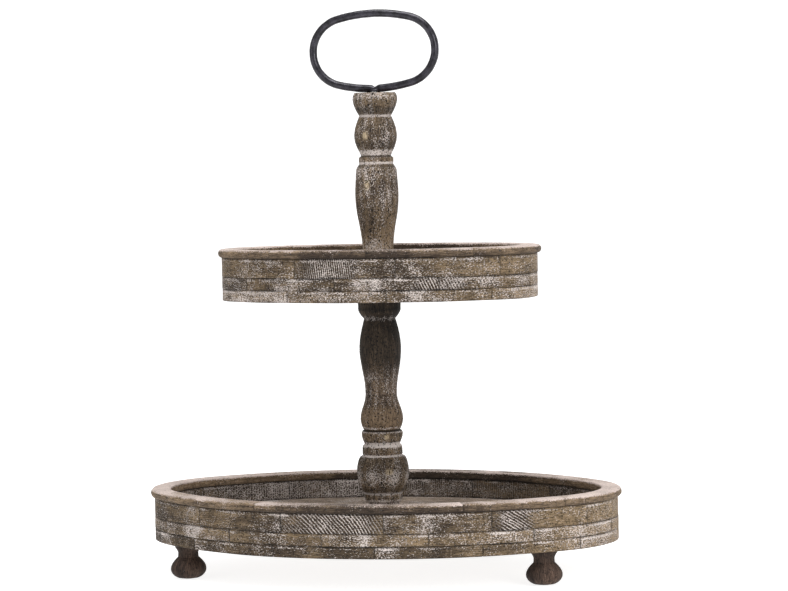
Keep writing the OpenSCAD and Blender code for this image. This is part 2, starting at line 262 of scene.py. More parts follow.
helpers = (tube, build, waves, bump, fade, spread, circle_turns, girth, spun)
print("Helpers ready:", ", ".join(f.__name__ for f in helpers))

# %% [markdown]
# ## Building node graphs
# A finish is a small graph of shader nodes. These short helpers add a node or two each, so that a
# graph reads from top to bottom like a recipe.

# %% Short names for nodes
def node(tree, kind, inputs=None, **settings):
    """Adds one shader node. inputs gives a value, or another node's output, for each socket."""
    made = tree.nodes.new("ShaderNode" + kind)
    for key, value in settings.items():
        setattr(made, key, value)
    for key, value in (inputs or {}).items():
        if isinstance(value, bpy.types.NodeSocket):
            tree.links.new(value, made.inputs[key])
        else:
            made.inputs[key].default_value = value
    return made


def maths(tree, what, a, b=0.0):
    """One step of arithmetic, such as ADD, MULTIPLY or MAXIMUM of a and b, or SINE of a."""
    return node(tree, "Math", {0: a, 1: b}, operation=what).outputs[0]


def plus(tree, value, other, times):
    """value + times * other."""
    return maths(tree, "ADD", value, maths(tree, "MULTIPLY", other, times))


def noise(tree, where, scale, detail=3.0, rough=0.55):
    """Soft clouds of values about 0.5: scale is how many clouds fit in one unit of where."""
    return node(tree, "TexNoise", {"Vector": where, "Scale": scale, "Detail": detail,
                                   "Roughness": rough}).outputs[0]


def between(tree, value, low, high, to_low=0.0, to_high=1.0):
    """Turns low..high into to_low..to_high with a soft step, and holds outside it."""
    return node(tree, "MapRange", {0: value, 1: low, 2: high, 3: to_low, 4: to_high},
                interpolation_type="SMOOTHSTEP").outputs[0]


def blend(tree, share, a, b):
    """Colour a, going over to colour b as the share goes from 0 to 1. A colour is another node's
    output, or three numbers, which get a 1 behind them because the node wants four."""
    a, b = (c if isinstance(c, bpy.types.NodeSocket) else (*c, 1) for c in (a, b))
    return node(tree, "Mix", {0: share, 6: a, 7: b}, data_type="RGBA").outputs[2]


def mark(tree, name):
    """The painted value with this name at the point being shaded."""
    return node(tree, "Attribute", attribute_name=name).outputs["Fac"]


def new_finish(name):
    """An empty finish to build a graph in."""
    material = bpy.data.materials.new(name)
    material.use_nodes = True
    material.node_tree.nodes.clear()
    return material


def close_finish(material, relief, deep, height, **shader_inputs):
    """Ends a graph with a bump from height and the shader. An underscore stands for a space."""
    tree = material.node_tree
    raised = node(tree, "Bump", {"Strength": relief, "Distance": deep, "Height": height})
    inputs = {key.replace("_", " "): value for key, value in shader_inputs.items()}
    shader = node(tree, "BsdfPrincipled", {**inputs, "Normal": raised.outputs[0]})
    tree.links.new(shader.outputs[0], node(tree, "OutputMaterial").inputs[0])
    return material


def shaded(tree, colour, amount):
    """A colour times a number, which makes it lighter or darker."""
    return node(tree, "VectorMath", {0: colour, "Scale": amount}, operation="SCALE").outputs[0]


print("Node helpers ready:", ", ".join(f.__name__ for f in (node, maths, plus, noise, between, blend)))

# %% [markdown]
# ## The finish on the wood
# The boards were painted once, limewashed later, and left outdoors. What is left is grey-brown wood
# with dark hairlines along the grain, pale lime in the hollows, and dark specks where knots and dirt
# sit. The graph follows that history, with painted light and shade added: a wood colour between a dark
# and a light tone, hairlines and pores that darken it, then lime wherever a painted value asks for it
# and along the saw's cuts, then pale tan painted highlights, then dirt and painted shade, and specks on top
# of all.

# %% Old limed wood
GRAIN = {"bands": (11, 210), "hairs": (85, 1500), "pores": (240, 1500), "flakes": (520, 1000)}
GLINT_TAN, THIN = (0.46, 0.36, 0.23), 0.72
LIME_COVER, CUT_COVER, DIRT_AND_SHADE_COVER, SPECK_COVER = 0.92, 0.95, 0.9, 0.85


def old_wood(name, dark, light, limed, flecks=0.5, contrast=1.0, relief=1.0, fine=1.0):
    """Wood from a dark to a light tone, with lime left where the wash mark is high. GRAIN says how
    many features fit in a metre along and across the grain, and fine makes the flakes smaller."""
    material = new_finish(name)
    tree = material.node_tree
    grain = node(tree, "UVMap", uv_map="grain").outputs[0]
    place = node(tree, "TexCoord").outputs["Object"]

    def along_grain(feature, detail, rough=0.55, finer=1.0):
        """Noise that is stretched along the grain."""
        along, across = GRAIN[feature]
        where = node(tree, "VectorMath", {0: grain, 1: (along * finer, across * finer, 1)},
                     operation="MULTIPLY").outputs[0]
        return noise(tree, where, 1, detail, rough)

    bands, hairs = along_grain("bands", 5), along_grain("hairs", 3, 0.62)
    pores, flakes = along_grain("pores", 2, 0.5), along_grain("flakes", 2, 0.6, fine)
    clouds, grit = noise(tree, place, 24, 4, 0.6), noise(tree, place, 520, 3, 0.6)
    patches = noise(tree, place, 85, 5, 0.72)

    # Bare wood: the tone picks a colour, then hairlines and pores darken it.
    tone = plus(tree, maths(tree, "MULTIPLY", bands, 0.45), clouds, 0.55)
    tone = plus(tree, tone, mark(tree, "tint"), 0.16)
    wood = blend(tree, between(tree, tone, 0.5 - 0.16 / contrast, 0.5 + 0.2 / contrast), dark, light)
    wood = shaded(tree, wood, between(tree, hairs, 0.3, 0.7, 0.34, 1.62))
    wood = shaded(tree, wood, between(tree, pores, 0.54, 0.64, 1.0, 0.3))

    # Saw cuts: one wave for each tooth counted in kerf, bent by the clouds and broken by patches.
    tooth = plus(tree, mark(tree, "kerf"), clouds, 2.6)
    cut = maths(tree, "SINE", maths(tree, "MULTIPLY", tooth, 2 * math.pi))
    cut = plus(tree, plus(tree, cut, patches, 1.6), flakes, 3.2)
    cut = maths(tree, "MULTIPLY", between(tree, cut, 2.75, 3.45), mark(tree, "sawn"))

    # Lime: it stays where wash, patches and flakes add up to enough, and in the saw cuts.
    lime_at = plus(tree, plus(tree, mark(tree, "wash"), patches, 0.9), flakes, 2.3)
    lime = between(tree, lime_at, 1.96, 2.24, 0.0, LIME_COVER)
    lime = maths(tree, "MAXIMUM", lime, maths(tree, "MULTIPLY", cut, CUT_COVER))
    thin_lime = [THIN * c for c in limed]
    colour = blend(tree, lime, wood, blend(tree, between(tree, clouds, 0.35, 0.65), limed, thin_lime))

    # Painted highlights, then dirt and painted shade, then specks, in that order.
    glint_amount = maths(tree, "MULTIPLY", mark(tree, "worn"), between(tree, grit, 0.35, 0.6, 0.55, 1.0))
    colour = blend(tree, glint_amount, colour, GLINT_TAN)
    colour = shaded(tree, colour, plus(tree, 1.0, mark(tree, "dirt"), -DIRT_AND_SHADE_COVER))
    specks = maths(tree, "MULTIPLY", between(tree, grit, 0.56, 0.63), flecks)
    colour = shaded(tree, colour, plus(tree, 1.0, specks, -SPECK_COVER))

    # Relief: hairlines and lime stand up a little, and cuts and specks are sunk.
    height = plus(tree, plus(tree, plus(tree, hairs, lime, 0.35), cut, -0.5), specks, -0.6)
    rough = between(tree, hairs, 0.3, 0.7, 0.9, 0.72)
    return close_finish(material, 0.55 * relief, 0.5 * MM, height, Base_Color=colour, Roughness=rough,
                        Specular_IOR_Level=0.28)


LIME, PINK_LIME = (0.68, 0.605, 0.565), (0.60, 0.50, 0.455)
block_wood = old_wood("block_wood", (0.046, 0.031, 0.019), (0.225, 0.158, 0.090), LIME, 0.85)
rim_wood = old_wood("rim_wood", (0.045, 0.030, 0.020), (0.235, 0.165, 0.102), PINK_LIME, 0.6)
# The floor boards' tones are well above the walls' wood: partly paler limed boards, and partly painted light
# that lifts the shade inside the trays.
floor_wood = old_wood("floor_wood", (0.155, 0.117, 0.088), (0.46, 0.355, 0.27), LIME, 0.8, 0.8)
turned_wood = old_wood("turned_wood", (0.046, 0.031, 0.020), (0.215, 0.152, 0.092), LIME,
                       1.3, 0.9, fine=1.1)
# The lower shaft's wood is a darker copy of the turned wood: partly stain, and partly painted shade under the
# upper tray.
shaded_stained_wood = old_wood("dark_turned_wood", (0.024, 0.015, 0.010), (0.165, 0.113, 0.070), LIME,
                     1.3, 0.9, fine=1.1)
foot_wood = old_wood("foot_wood", (0.018, 0.010, 0.007), (0.100, 0.062, 0.044), LIME, 0.8, 0.9)
woods = (block_wood, rim_wood, floor_wood, turned_wood, shaded_stained_wood, foot_wood)
print("Wood finishes:", ", ".join(wood.name for wood in woods))

# %% [markdown]
# ## The finish on the metal
# The ring is a bent bar that a smith blackened: the scale is nearly black, and high spots are worn
# brighter. The rod, nut and washers are zinc plated, which is greyer and mottled. Both are one
# metal graph with different numbers: a mottled colour, and a roughness that varies with it.

# %% Metals
def worn_metal(name, dark, bright, rough, mottle, relief, metallic=1.0):
    """A mottled metal: noise picks between a dark and a bright tone, and fine hollows are rougher.
    mottle is how many clouds fit in a metre."""
    material = new_finish(name)
    tree = material.node_tree
    place = node(tree, "TexCoord").outputs["Object"]
    cloud, fine = noise(tree, place, mottle, 5, 0.65), noise(tree, place, mottle * 7, 3, 0.6)
    colour = blend(tree, between(tree, plus(tree, cloud, fine, 0.5), 0.58, 0.98), dark, bright)
    dull = between(tree, fine, 0.3, 0.7, rough + 0.12, rough - 0.1)
    return close_finish(material, relief, 0.6 * MM, plus(tree, cloud, fine, 0.4), Base_Color=colour,
                        Metallic=metallic, Roughness=dull)


blackened_iron = worn_metal("blackened_iron", (0.005, 0.0045, 0.007), (0.046, 0.043, 0.056),
                            0.28, 120, 0.25, 0.4)
zinc_steel = worn_metal("zinc_steel", (0.36, 0.37, 0.39), (0.60, 0.61, 0.63), 0.38, 140, 0.12)
brad_steel = worn_metal("brad_steel", (0.018, 0.015, 0.013), (0.07, 0.06, 0.05), 0.6, 700, 0.4, 0.6)
print("Metal finishes:", blackened_iron.name, zinc_steel.name, brad_steel.name)

# %% [markdown]
# ## The oval that both trays follow
# A joiner draws this oval with a compass: two small end arcs, and two large side arcs that meet them
# without a corner. Any line a fixed way inside it is the same four arcs with smaller radii. That is
# why one function can give every course, the rim and the floor's edge.

# %% The four-centre oval
def four_arcs(half_x, half_y, end_radius):
    """The oval's arcs. x and y are its half length and half width, r the end arcs' radius and side_r
    the side arcs'. An end arc's middle is offset along X from the oval's, and a side arc's middle
    is centre behind it. The arcs touch where the facing is turn, since the two middles and that
    point lie on one line: offset^2 + centre^2 = (side_r - r)^2."""
    offset, drop = half_x - end_radius, half_y - end_radius
    centre = (offset ** 2 - drop ** 2) / (2 * drop)
    turn = math.atan2(centre, offset)
    ends, sides = 2 * end_radius * turn, (half_y + centre) * (math.pi - 2 * turn)
    return {"x": half_x, "y": half_y, "r": end_radius, "offset": offset, "centre": centre, "turn": turn,
            "side_r": half_y + centre, "around": 2 * (ends + sides), "ends": ends, "sides": sides}


def tray_values(low_node, rim_node, end_radius, blocks, boards):
    """A tray's oval and counts. The oval is its wall's outside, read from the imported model."""
    low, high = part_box(low_node)
    rim_low, rim_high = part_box(rim_node)
    half = (high - low) / 2
    return {**four_arcs(half.x, half.y, end_radius), "blocks": blocks, "boards": boards,
            "rim": (rim_low.z, rim_high.z)}


def oval(run, tray, inset=0.0):
    """x, y and facing at a distance run along the outside, and inset inwards from it. The facing
    angle grows in step with run on each arc, and the point is the arc's centre plus its radius,
    less the inset, in the facing direction."""
    e, s, a = tray["ends"], tray["sides"], tray["turn"]
    marks = np.cumsum([0, e / 2, s, e, s, e / 2])
    facing = np.interp(np.mod(run, tray["around"]), marks,
                       [0, a, math.pi - a, math.pi + a, 2 * math.pi - a, 2 * math.pi])
    on_side = np.abs(np.sin(facing)) > math.sin(a)
    cx = np.where(on_side, 0, np.sign(np.cos(facing)) * tray["offset"])
    cy = np.where(on_side, -np.sign(np.sin(facing)) * tray["centre"], 0)
    reach = np.where(on_side, tray["side_r"], tray["r"]) - inset
    return cx + reach * np.cos(facing), cy + reach * np.sin(facing), facing


def half_length_at(y, tray, inset):
    """How far the oval, drawn in by inset, reaches along X at a distance y from its long axis."""
    y = np.abs(y)
    end, side = tray["r"] - inset, tray["side_r"] - inset
    on_end = tray["offset"] + np.sqrt(np.maximum(end ** 2 - y ** 2, 0))
    on_side = np.sqrt(np.maximum(side ** 2 - (y + tray["centre"]) ** 2, 0))
    return np.where(y < end * math.sin(tray["turn"]), on_end, on_side)


lower = tray_values("lower_tray_top_course", "lower_tray_rim", 0.111, 12, 5)
upper = tray_values("upper_tray_top_course", "upper_tray_rim", 0.079, 8, 3)
print("Round the outside:", round(lower["around"], 3), "m below and", round(upper["around"], 3), "m above")

# %% [markdown]
# ## Blocks carried along the oval
# A block is cut on a bandsaw, and its edges are only just eased. The section is a box with four
# rounded corners, carried along the oval from one joint to the next. Each block is shifted in or out
# by a hair, because no glued-up hoop is perfectly fair, and its ends draw in a little, which makes
# the fine dark joint lines.

# %% The section and the blocks
GLUE_GAP, UNFAIR = 0.2 * MM, 0.22 * MM
BLOCK_STEP, END_EASE = 3.2 * MM, 0.7 * MM
DRAWN_IN, ROUGHNESS, SEAM = 0.035, 0.13 * MM, 0.8 * MM  # the first is a share of the section


def eased_section(outer, inner, low, high, radii, step):
    """A closed outline of (inset, height) points: four quarter-round corners and the straight
    runs between them. radii are for outer low, outer high, inner high and inner low."""
    corners = [(outer, low, 1, 1, -90), (outer, high, 1, -1, 180),
               (inner, high, -1, -1, 90), (inner, low, -1, 1, 0)]
    arcs = []
    for (at, up, to_in, to_up, start), r in zip(corners, radii):
        turn = np.radians(start - np.linspace(0, 90, 5))
        arcs.append(np.column_stack([at + to_in * r + r * np.cos(turn), up + to_up * r + r * np.sin(turn)]))
    points = []
    for k, arc in enumerate(arcs):
        after = arcs[(k + 1) % 4][0]
        share = np.linspace(0, 1, max(2, int(np.linalg.norm(after - arc[-1]) / step)) + 1)[1:-1, None]
        points += [arc, arc[-1] + (after - arc[-1]) * share]
    return np.concatenate(points)


def lengths(points):
    """The distance along a closed outline up to each point, and once round back to the first."""
    closed = np.vstack([points, points[:1]])
    return np.concatenate([[0], np.cumsum(np.linalg.norm(np.diff(closed, axis=0), axis=1))])


def carry_blocks(tray, section, phase, seed, paint, unfair=UNFAIR, warp=0.0, joint_dirt=0.95):
    """One closed sheet for each block: the section's points at each run along the oval, with
    inset changed by the block's own shift and by smooth waves, and height by a slow warp. The end
    sections are drawn in towards their middle, and dirt gathers at the joints."""
    rng = np.random.default_rng(seed)
    pitch, tubes, around = tray["around"] / tray["blocks"], [], lengths(section)
    middle = section.mean(0)
    for k in range(tray["blocks"]):
        first = (k + phase) * pitch
        run = spread(first, first + pitch - GLUE_GAP, BLOCK_STEP, END_EASE)
        drawn = np.zeros(len(run))
        drawn[[0, -1]] = DRAWN_IN
        rows, inset = np.meshgrid(run, section[:, 0], indexing="ij")
        height = np.broadcast_to(section[:, 1], rows.shape)
        inset = inset + (middle[0] - inset) * drawn[:, None]
        height = height + (middle[1] - height) * drawn[:, None] * 1.4
        shift = rng.uniform(-unfair, unfair)
        rough = ROUGHNESS * waves(rows * 1000, height * 1000 + inset * 900, seed * 31 + k, 14)
        x, y, facing = oval(rows, tray, inset + shift + rough)
        height = height + warp * waves(rows, rows * 0, seed + 7, 0.09)
        points = np.stack([x, y, height], -1)
        marks = paint(x=x, y=y, z=height, inset=np.broadcast_to(section[:, 0], rows.shape), block=k,
                      facing=facing, chance=rng)
        from_joint = np.minimum(run - run[0], run[-1] - run)[:, None]
        seam = joint_dirt * rng.uniform(0.3, 1.0)
        marks["dirt"] = np.maximum(marks["dirt"], seam * fade(from_joint, SEAM))
        tubes.append(tube(points, run + rng.uniform(0, 3), around + rng.uniform(0, 3), **marks))
    return tubes


print("A block of the lower tray is", round(lower["around"] / lower["blocks"] * 1000), "mm long")

# %% [markdown]
# ## Where the old paint is left
# Limewash wears off where hands and weather reach, and saw lines stay where nobody planed. So each
# course gets a short list of places along its front, in millimetres from the pole, and the other
# sides get places by chance from a fixed seed. The painted values fade softly, and the finish's own
# noise gives each patch its ragged edge.
# The same values carry painted shade too: dark lines in the joints between courses, the inside of the tray,
# and shadow lines under the course above.

# %% Paint for the walls
NEAR_SAW, FAR_SAW, INNER_SAW, SKIN = 3.1, 3.4, 2.3, 2  # millimetres between teeth, and a surface's depth


def wall_paint(base, patches=(), saws=(), thick=16, shadow_lines=(), shade=0.0):
    """Painted values for a course. Lime is the base plus a hump for each patch (place, half length,
    amount) on the outside. A saw mark (place, half length, across, up, curve) gives a count of
    saw teeth that grows across and up, or outwards from a far centre if it curves. Each shadow line
    (place, half length) is painted shadow, a dark line under the course above. Each block's top and
    bottom edges and the inside of the tray are darkened as painted shade. shade makes the whole course paler."""
    def paint(x, y, z, inset, block, facing, chance):
        """mx is the place along the tray and mz the height in the block, both in millimetres."""
        mx, mz = x * 1000, (z - z.min()) * 1000
        outer, inner = inset < SKIN * MM, inset > (thick - SKIN) * MM
        near, far_side = (y < 0) & outer, (y > 0) & outer
        height = mz.max()
        edge, under = np.minimum(mz, height - mz), height - mz

        # Lime: a base for the block, some of the far side's blocks, and the listed patches.
        wash = base + chance.uniform(-0.06, 0.12) + 0.1 * waves(mx + inset * 900, mz * 2.0, block + 40, 30)
        lucky = chance.random() < 0.3
        wash = wash + np.where(far_side, 0.17 * lucky, 0)
        for at, half, amount in patches:
            wash = wash + amount * bump(mx, at, half) * near

        # Saw lines: listed on the near side, by chance on the far side, and all along the inside.
        kerf, sawn = mx / FAR_SAW, np.where(far_side, 0.55 * (chance.random() < 0.3), 0.0)
        for at, half, across, up, curve in saws:
            here = bump(mx, at, half) * near
            far = np.hypot(mx - at + across * curve, mz + up * curve) if curve else across * mx + up * mz
            kerf = np.where(here > 0.02, far / NEAR_SAW, kerf)
            sawn = np.maximum(sawn, here)
        kerf = np.where(inner, mx / INNER_SAW, kerf)
        sawn = np.where(inner, 0.45 + 0.5 * bump(mx, -100, 75), sawn)

        # Painted shade: ragged dark lines along each block's top and bottom edges in the joints between
        # courses, the inside of the tray, and the listed shadow lines under the course above.
        ragged = np.clip(0.62 + 0.6 * waves(mx, mx * 0, block + 9, 26), 0.15, 1)
        on_face = np.where(outer | inner, 1.0, 0.3)
        dirt = on_face * ragged * fade(edge, 0.85) + inner * (0.38 - 0.22 * bump(mx, -80, 90))
        for at, half in shadow_lines:
            dirt = dirt + bump(mx, at, half) * near * fade(under, 0.9)

        # A broken line of lime just under the top edge, and a paler tone towards the right end, which is
        # painted light from the window on that side.
        line = np.clip(waves(mx, mx * 0, block + 19, 34) + 0.35, 0, 1)
        wash = wash + 0.42 * line * fade(under - 2.1, 0.9)
        end_light = 1.1 * np.clip(mx / (np.abs(mx).max() + 60), -0.3, 1) ** 3 + 0.9 * bump(mx, 270, 60)
        tint = shade + chance.uniform(-0.35, 0.25) - 1.4 * (sawn * near) + end_light
        return {"wash": wash + inner * (0.08 + 0.16 * bump(mx, -100, 62)), "dirt": np.clip(dirt, 0, 1.0),
                "tint": tint + 0.2 * waves(mx, mz, block + 70, 45), "kerf": kerf, "sawn": sawn}
    return paint


def rim_paint(x, y, z, inset, block, facing, chance):
    """Painted values for a rim: pale on top, palest along the inner edge and at the tray's ends, and
    brown without lime at the side. The dark line along the lower edge is painted shadow under the rim,
    and the inner side below the top is darkened as painted shade. top goes from 0 at the side to 1 on the
    upper face."""
    mx, top = x * 1000, np.clip(((z - z.max()) * 1000 + 2.6) / 2.0, 0, 1)
    inward, at_end = inset > 15 * MM, np.clip((np.abs(mx) / np.abs(mx).max()) ** 4, 0, 1)
    wash = 0.06 + top * (0.30 + 0.75 * at_end) + 0.34 * (top * inward)
    # The dark line along the rim's lower edge is painted shadow under the rim, and the inner side below the
    # top is darkened as painted shade.
    low = np.exp(-(z - z.min()) * 1000 / 1.3)
    end_light = 1.7 * np.clip(np.abs(mx - 30) / 170, 0, 1) ** 1.3
    # The upper face's paler tint (0.7 of top) is partly paler wood and partly painted light from above.
    return {"wash": wash + 0.14 * waves(mx, inset * 900, block + 11, 24),
            "dirt": np.clip(0.85 * low + 0.12 * inward * (1 - top), 0, 0.95),
            "tint": chance.uniform(-0.3, 0.3) - 1.1 + end_light + 0.7 * top}


print("Paint ready for walls and rims")

# %% [markdown]
# ## The courses and rims
# The top course is the tallest board, and the two below are thinner. Their joints are staggered, as in
# brickwork, so that each joint is tied by the block above it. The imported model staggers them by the
# same shares of a block, so the seams here fall where its seams do.

# %% Build the walls of both trays
WALL, LEDGE = 16 * MM, 30 * MM
WALL_EDGES = (0.8 * MM, 0.8 * MM, 0.9 * MM, 0.7 * MM)
SECTION_STEP = 1.5 * MM


def course(name, tray, body, phase, seed, paint, thick=WALL, warp=0.0):
    """One course of blocks. phase is how far its first joint is moved on, in blocks."""
    low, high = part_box(name)
    section = eased_section(0, thick, low.z, high.z, WALL_EDGES, SECTION_STEP)
    tubes = carry_blocks(tray, section, phase, seed, paint, warp=warp)
    return build(name + "_blocks", tubes, block_wood, body, "block_wood", [name])


ARC_SAW = (-5, 44, 1.0, 0.75, 150)
course("lower_tray_top_course", lower, "lower_tier", 0.42, 3,
       wall_paint(0.16, [(88, 15, 0.09), (-178, 9, 0.14), (-64, 12, 0.16), (255, 25, 0.12)],
                  [ARC_SAW, (173, 13, 0.7, 0.9, 0)], shade=-0.1))
course("lower_tray_middle_course", lower, "lower_tier", 0.83, 5,
       wall_paint(0.20, [(28, 6, 0.28), (168, 20, 0.13), (-178, 10, 0.30), (240, 30, 0.12)]),
       warp=0.15 * MM)
course("lower_tray_bottom_course", lower, "lower_tier", 0.33, 8,
       wall_paint(0.17, [(50, 12, 0.22), (236, 22, 0.22), (-228, 16, 0.20)], thick=30,
                  shadow_lines=[(0, 32), (165, 16)], shade=-0.35),
       thick=LEDGE, warp=0.2 * MM)
course("upper_tray_top_course", upper, "upper_tier", 0.42, 13,
       wall_paint(0.16, [(20, 20, 0.08), (-120, 20, 0.1)], [(-23, 24, 1.3, 0.2, 0)]))
course("upper_tray_middle_course", upper, "upper_tier", 0.83, 15,
       wall_paint(0.22, [(-70, 22, 0.20), (18, 17, 0.24)], [(90, 21, 1.0, 0.5, 0)], shade=-0.3),
       warp=0.15 * MM)
course("upper_tray_bottom_course", upper, "upper_tier", 0.33, 18,
       wall_paint(0.28, [(-40, 100, 0.12), (75, 16, 0.14)], thick=30, shadow_lines=[(41, 18), (100, 28)]),
       thick=LEDGE, warp=0.2 * MM)

# %% Build the rims
RIM_OUT, RIM_IN, RIM_TALL = 4 * MM, 1.5 * MM, 9 * MM
RIM_EDGES = (4.3 * MM, 4.3 * MM, 1.6 * MM, 0.8 * MM)
RIM_PHASE = 0.15


def rim(name, tray, body, seed):
    """A rim's segments: a flat board over the wall, with its outer edge rounded over."""
    low, high = tray["rim"]
    section = eased_section(-RIM_OUT, WALL + RIM_IN, low, high, RIM_EDGES, SECTION_STEP)
    tubes = carry_blocks(tray, section, RIM_PHASE, seed, rim_paint, 0.25 * MM, joint_dirt=0.45)
    return build(name + "_segments", tubes, rim_wood, body, "rim_wood", [name])


rim("lower_tray_rim", lower, "lower_tier", 23)
rim("upper_tray_rim", upper, "upper_tier", 29)

# %% [markdown]
# ## The brads
# Each rim segment is held by two brads, driven in at a slope from its edge down into the wall. Only
# their heads show, as small dark dots. A brad is a profile turned about its own line: the head's
# middle, its edge, the shank and the point.

# %% Build the brads
BRAD_SLOPE, BRAD_UP, BRAD_SUNK = math.radians(38), 0.62, 0.15 * MM


def brads(name, tray, body):
    """Each brad is a turned profile set along a line that leans in and down from the rim's edge:
    its depth along the line and its radius, from the head's middle to the point."""
    pitch = tray["around"] / tray["blocks"]
    depth = np.array([0.05, 0.08, 0.5, 0.9, 1.1, 6, 16, 19.2, 20]) * MM
    radius = np.array([0.35, 1.0, 1.1, 0.95, 0.78, 0.78, 0.78, 0.5, 0.08]) * MM
    turn = circle_turns(12)
    tubes = []
    for k in range(tray["blocks"]):
        for share in (0.25, 0.75):
            run = np.array([(k + RIM_PHASE + share) * pitch])
            x, y, facing = oval(run, tray, -RIM_OUT + BRAD_SUNK)
            out = np.array([math.cos(facing[0]), math.sin(facing[0]), 0])
            side, up = np.array([-out[1], out[0], 0]), np.array([0, 0, 1.0])
            line = -math.cos(BRAD_SLOPE) * out - math.sin(BRAD_SLOPE) * up
            cross = np.cross(line, side)
            head = np.array([x[0], y[0], tray["rim"][0] + BRAD_UP * RIM_TALL])
            circle = np.cos(turn)[None, :, None] * side + np.sin(turn)[None, :, None] * cross
            ring = radius[:, None, None] * circle
            tubes.append(tube(head + depth[:, None, None] * line + ring, depth, lengths(ring[2, :, :2])))
    return build(name + "_driven", tubes, brad_steel, body, "brad_steel", [name])


brads("lower_tray_brads", lower, "lower_tier")
brads("upper_tray_brads", upper, "upper_tier")

# %% [markdown]
# ## The floors
# Boards lie side by side on the ledge that the wide bottom course makes, and their ends follow the
# oval. A board is a rounded section carried from end to end, where each point stops at the oval's
# edge for its own distance from the long axis. The middle board has the rod's hole, so it is made as a
# sheet that runs round the hole, from the hole's edge out to the board's outline.

# %% Build the floors
FLOOR_GAP, BORE, BOARD_EDGE = 0.3 * MM, 4.1 * MM, 0.5 * MM
RINGS, HAIR = 34, 0.02 * MM  # points from the hole to the edge, and a hair's breadth


def floor_marks(x, y, tray, seed, low_side):
    """Lime in drifts, and more of it near the wall; the boards darken a little towards the wall as painted
    shade, and their undersides carry painted shade and less lime.
    """
    mx, my = x * 1000, y * 1000
    edge = 1 - np.abs(x) / half_length_at(y, tray, WALL)
    near_wall = np.exp(-np.clip(edge, 0, 1) * 14)
    return {"wash": 0.24 + 0.14 * waves(mx, my, seed, 60) + 0.2 * near_wall - 0.15 * low_side,
            "dirt": 0.08 * near_wall + 0.3 * low_side, "tint": 0.4 * waves(my * 0 + seed * 50, my, seed, 30)}


def plain_board(tray, inset, y0, y1, low, high):
    """The section's points at each share of the way from end to end: x is the share times the
    oval's half length at that point's own y."""
    out = eased_section(y0, y1, low, high, (BOARD_EDGE,) * 4, 4 * MM)
    share = spread(-1, 1, 0.035, 0.004)
    y = np.clip(out[:, 0], -tray["y"] + inset + HAIR, tray["y"] - inset - HAIR)
    reach = np.maximum(half_length_at(y, tray, inset), 0.4 * MM)
    x = share[:, None] * reach[None, :]
    return np.stack([x, np.broadcast_to(y, x.shape), np.broadcast_to(out[:, 1], x.shape)], -1)


def bored_board(tray, inset, y0, y1, low, high):
    """Rows turn round the hole. In each, the top goes from the hole's edge out to the board's outline
    in equal shares, and the underside comes back. The outline is the nearer of side and end."""
    turn = circle_turns(240)
    c, s = np.cos(turn), np.sin(turn)
    to_side = (y1 - 0.2 * MM) / np.maximum(np.abs(s), 1e-6)
    to_end = half_length_at(np.zeros(1), tray, inset)[0] / np.maximum(np.abs(c), 1e-6)
    reach = np.minimum(to_side, to_end)
    y_at = np.clip(reach * s, y0, y1)
    reach_x = np.where(to_end < to_side, half_length_at(y_at, tray, inset) * np.sign(c), reach * c)
    share = np.concatenate([np.linspace(0, 1, RINGS), np.linspace(1, 0, RINGS)])
    level = np.concatenate([np.full(RINGS, high), np.full(RINGS, low)])
    x = BORE * c[:, None] * (1 - share) + reach_x[:, None] * share
    y = BORE * s[:, None] * (1 - share) + y_at[:, None] * share
    return np.stack([x, y, np.broadcast_to(level, x.shape)], -1)


def floor(name, tray, body, seed):
    """Boards side by side across the oval, with the rod's hole in the middle one. The grain's map is
    x and y themselves, moved on for each board so that no two boards match."""
    low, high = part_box(name)
    inset = WALL + FLOOR_GAP
    width = 2 * (tray["y"] - inset) / tray["boards"]
    tubes = []
    for k in range(tray["boards"]):
        y0 = k * width - tray["y"] + inset + FLOOR_GAP / 2
        bored = k == tray["boards"] // 2
        shape = bored_board if bored else plain_board
        points = shape(tray, inset, y0, y0 + width - FLOOR_GAP, low.z, high.z)
        marks = floor_marks(points[..., 0], points[..., 1], tray, seed + k, points[..., 2] < high.z - 2 * MM)
        no_map = [np.zeros(count + 1) for count in points.shape[:2]]
        made = tube(points, *no_map, joined=bored, **marks)
        made["quad_uv"] = made["vertices"][made["quads"]][..., :2] + np.array([k * 0.7, 0.4 * k])
        tubes.append(made)
    return build(name + "_boards", tubes, floor_wood, body, "floor_wood", [name])


floor("lower_tray_floor", lower, "lower_tier", 51)
floor("upper_tray_floor", upper, "upper_tier", 61)

# %% [markdown]
# ## Turned wood
# The pole and the feet were turned on a lathe. A turning is one outline spun round an axis: every
# bead, cove and ball is a list of heights and radii, joined by half or quarter waves. A gouge never
# leaves a perfect round, so the radius also carries fine rings and a slow unevenness. The bore for
# the rod or screw is part of the same closed outline.

# %% An eased outline
def eased_outline(rows, scale, step=0.9):
    """Heights and radii along the outline. Between two entries the radius follows a straight line (0),
    half a wave (1), a quarter wave leaving square (2) or landing square (3), or a quarter oval
    leaving square (4) or landing square (5)."""
    heights, radii = [], []
    for (z0, r0, ease), (z1, r1, _) in zip(rows[:-1], rows[1:]):
        u = np.linspace(0, 1, max(2, int((z1 - z0) / step)), endpoint=False)
        share = (u, (1 - np.cos(np.pi * u)) / 2, 1 - np.cos(np.pi * u / 2), np.sin(np.pi * u / 2),
                 1 - np.sqrt(1 - u ** 2), np.sqrt(1 - (1 - u) ** 2))[ease]
        heights.append(z0 + (z1 - z0) * u)
        radii.append((r0 + (r1 - r0) * share) * scale)
    return (np.append(np.concatenate(heights), rows[-1][0]) * MM,
            np.append(np.concatenate(radii), rows[-1][1] * scale) * MM)


GOUGES = ((0.05, 2.7, 0), (0.04, 5.9, 1))


